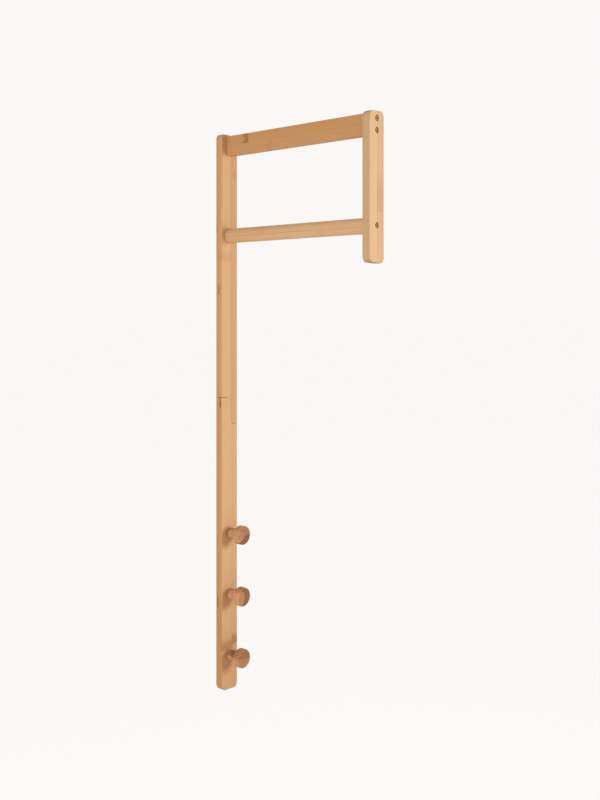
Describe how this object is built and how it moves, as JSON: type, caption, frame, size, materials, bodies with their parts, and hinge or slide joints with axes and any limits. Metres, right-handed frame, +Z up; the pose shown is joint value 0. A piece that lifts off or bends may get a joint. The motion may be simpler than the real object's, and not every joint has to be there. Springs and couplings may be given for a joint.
{
  "type": "wall coat rack",
  "caption": "Tall slim wall coat rack in laminated bamboo: an arm and a round rail carry a short front post as a hanger window, with turned knobs below.",
  "frame": {"origin": "on the wall plane and the rack's centreline, midway between the two keyhole plates that it hangs on", "axes": "+Z up, +X to the right of someone who faces the wall, +Y into the wall"},
  "size_m": [0.04, 0.335, 1],
  "materials": {
    "bamboo_back": "clear satin lacquer on carbonised laminated bamboo",
    "bamboo_front": "clear satin lacquer on pale laminated bamboo",
    "bamboo_arm": "clear satin lacquer on carbonised laminated bamboo",
    "bamboo_rail": "clear satin lacquer on turned laminated bamboo",
    "knob_wood": "clear satin lacquer on turned laminated bamboo",
    "bronze_screw": "dull bronze plating",
    "zinc_steel": "bright zinc plating"
  },
  "bodies": {
    "root": {"back_post_upper": "bamboo_back", "back_post_lower": "bamboo_back", "front_post": "bamboo_front", "arm": "bamboo_arm", "hanging_rail": "bamboo_rail", "knob_lower": "knob_wood", "knob_middle": "knob_wood", "knob_upper": "knob_wood", "arm_front_screw_lower": "bronze_screw", "arm_front_screw_upper": "bronze_screw", "arm_rear_screw_lower": "bronze_screw", "arm_rear_screw_upper": "bronze_screw", "rail_front_screw": "bronze_screw", "rail_rear_screw": "bronze_screw", "knob_screw_lower": "bronze_screw", "knob_screw_middle": "bronze_screw", "knob_screw_upper": "bronze_screw", "lap_screw_lower": "zinc_steel", "lap_screw_upper": "zinc_steel", "keyhole_plate_lower": "zinc_steel", "keyhole_plate_upper": "zinc_steel", "plate_screw_lower_bottom": "zinc_steel", "plate_screw_lower_top": "zinc_steel", "plate_screw_upper_bottom": "zinc_steel", "plate_screw_upper_top": "zinc_steel"}
  },
  "joints": []
}
